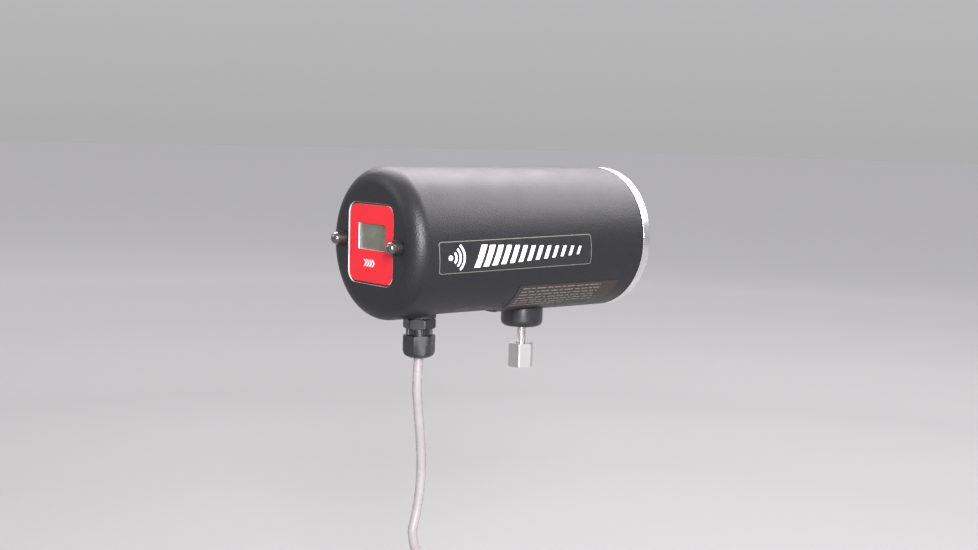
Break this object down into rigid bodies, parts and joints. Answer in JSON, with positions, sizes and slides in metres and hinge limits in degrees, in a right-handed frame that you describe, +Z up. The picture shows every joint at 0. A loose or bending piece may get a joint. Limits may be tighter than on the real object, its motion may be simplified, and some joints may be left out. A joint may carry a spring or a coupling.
{
  "type": "tripod-mounted sports speed radar",
  "caption": "Black tubular speed radar with rear display panel and push-buttons, front horn antenna behind a bright ring, cable gland with power lead, and a threaded tripod stud.",
  "frame": {"origin": "centre of the coupling nut's bottom face, where a tripod's screw holds the radar", "axes": "+X along the beam, out of the antenna; +Z up, away from the tripod; +Y to the left of a person who stands behind the display"},
  "size_m": [0.2094, 0.0984, 0.3921],
  "materials": {
    "case_black": "satin, fine leather-grain texture, moulded in black",
    "trim_black": "semi-gloss black moulding",
    "button_gloss": "high-gloss black dome",
    "cover_grey": "smooth satin dark grey",
    "panel_red": "satin red front face",
    "window_clear": "clear, slightly green",
    "lcd_grey": "grey-green liquid crystal glass",
    "aluminium_bright": "polished, turned",
    "aluminium_cast": "satin, machined",
    "zinc_steel": "bright zinc plate",
    "brass_plain": "plain",
    "rubber_black": "matte",
    "cable_jacket": "glossy warm light grey jacket",
    "cable_tie_black": "woven hook-and-loop",
    "board_green": "solder mask",
    "component_black": "moulded epoxy",
    "label_black": "glossy film with a pale border",
    "label_brown": "satin film with thin pale bars",
    "radome_black": "satin",
    "wire_red": "glossy insulation"
  },
  "bodies": {
    "tripod_adapter": {"coupling_nut": "aluminium_bright"},
    "left_button": {"left_button_cap": "button_gloss"},
    "right_button": {"right_button_cap": "button_gloss"},
    "radar_body": {"housing_shell": "case_black", "underside_cover": "cover_grey", "front_ring": "aluminium_bright", "radome_lens": "radome_black", "radome_gasket": "rubber_black", "horn_antenna": "aluminium_cast", "horn_retaining_ring": "component_black", "waveguide_flange": "brass_plain", "microwave_transceiver": "aluminium_cast", "tuning_screw": "brass_plain", "chassis_plate": "aluminium_cast", "main_circuit_board": "board_green", "board_spacer_rear_left": "brass_plain", "board_spacer_rear_right": "brass_plain", "board_spacer_front_left": "brass_plain", "board_spacer_front_right": "brass_plain", "processor_chip": "component_black", "voltage_regulator": "aluminium_cast", "storage_capacitor": "component_black", "power_terminal_block": "component_black", "power_wire_positive": "wire_red", "power_wire_negative": "rubber_black", "display_bezel": "panel_red", "display_window": "window_clear", "lcd_module": "lcd_grey", "display_circuit_board": "board_green", "display_ribbon_cable": "cable_jacket", "left_button_bushing": "trim_black", "right_button_bushing": "trim_black", "left_switch_body": "component_black", "right_switch_body": "component_black", "gland_saddle_washer": "rubber_black", "gland_body": "trim_black", "gland_seal": "rubber_black", "gland_compression_nut": "trim_black", "gland_locknut": "zinc_steel", "power_cable_lead": "cable_jacket", "power_cable_coil": "cable_jacket", "power_cable_tail": "cable_jacket", "cable_tie_upper": "cable_tie_black", "cable_tie_lower": "cable_tie_black", "plug_strain_relief": "rubber_black", "plug_body": "trim_black", "plug_nose": "trim_black", "plug_side_contact_front": "zinc_steel", "plug_side_contact_rear": "zinc_steel", "plug_tip_contact": "zinc_steel", "mount_boss": "trim_black", "boss_backing_plate": "aluminium_cast", "stud_locknut": "zinc_steel", "mounting_stud": "zinc_steel", "brand_label": "label_black", "notice_label": "label_brown"}
  },
  "joints": [
    {"name": "aim_swivel", "type": "hinge", "parent": "tripod_adapter", "child": "radar_body", "pos_m": [0, 0, 0], "axis": [0, 0, 1], "range_deg": [-180, 180]},
    {"name": "left_button_press", "type": "slide", "parent": "radar_body", "child": "left_button", "axis": [1, 0, 0], "range_m": [0, 0.0015], "stiffness_N_per_m": 400},
    {"name": "right_button_press", "type": "slide", "parent": "radar_body", "child": "right_button", "axis": [1, 0, 0], "range_m": [0, 0.0015], "stiffness_N_per_m": 400}
  ]
}
